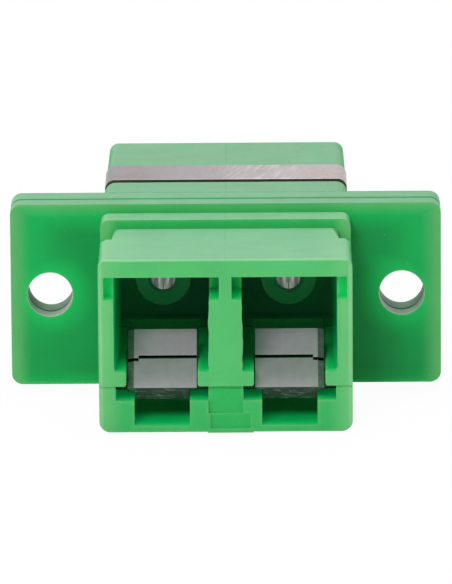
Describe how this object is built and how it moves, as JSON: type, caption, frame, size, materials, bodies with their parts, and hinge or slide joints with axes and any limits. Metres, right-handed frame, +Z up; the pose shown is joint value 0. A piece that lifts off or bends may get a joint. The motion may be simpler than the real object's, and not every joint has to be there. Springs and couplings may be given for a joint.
{
  "type": "duplex lc fibre adapter",
  "caption": "Fibre adapter with side-by-side ports at both ends, an oblong screw flange, a spring panel clip, inner alignment sleeves and steel shutters hinged in the front ports.",
  "frame": {"origin": "midway between the two flange holes, on the flange's rear face, which seats on the panel", "axes": "+Y from the front ports to the rear ports, +X across the ports to the right as seen from the front, +Z up away from the latch slots"},
  "size_m": [0.0214, 0.0264, 0.0097],
  "materials": {
    "green_plastic": "moulded green plastic with a fine satin texture",
    "spring_steel": "bright rolled spring steel",
    "polished_sleeve": "polished silver-grey sleeve",
    "shutter_steel": "grey satin stamped sheet steel",
    "pin_steel": "drawn steel wire"
  },
  "bodies": {
    "housing": {"front_housing": "green_plastic", "rear_housing": "green_plastic", "panel_clip": "spring_steel", "left_front_sleeve_holder": "green_plastic", "left_rear_sleeve_holder": "green_plastic", "left_alignment_sleeve": "polished_sleeve", "left_shutter_pin": "pin_steel", "right_front_sleeve_holder": "green_plastic", "right_rear_sleeve_holder": "green_plastic", "right_alignment_sleeve": "polished_sleeve", "right_shutter_pin": "pin_steel"},
    "left_flap": {"left_shutter": "shutter_steel"},
    "right_flap": {"right_shutter": "shutter_steel"}
  },
  "joints": [
    {"name": "left_shutter_hinge", "type": "hinge", "parent": "housing", "child": "left_flap", "pos_m": [-0.00313, -0.0097, -0.00293], "axis": [1, 0, 0], "range_deg": [-30, 55]},
    {"name": "right_shutter_hinge", "type": "hinge", "parent": "housing", "child": "right_flap", "pos_m": [0.00313, -0.0097, -0.00293], "axis": [1, 0, 0], "range_deg": [-30, 55]}
  ]
}
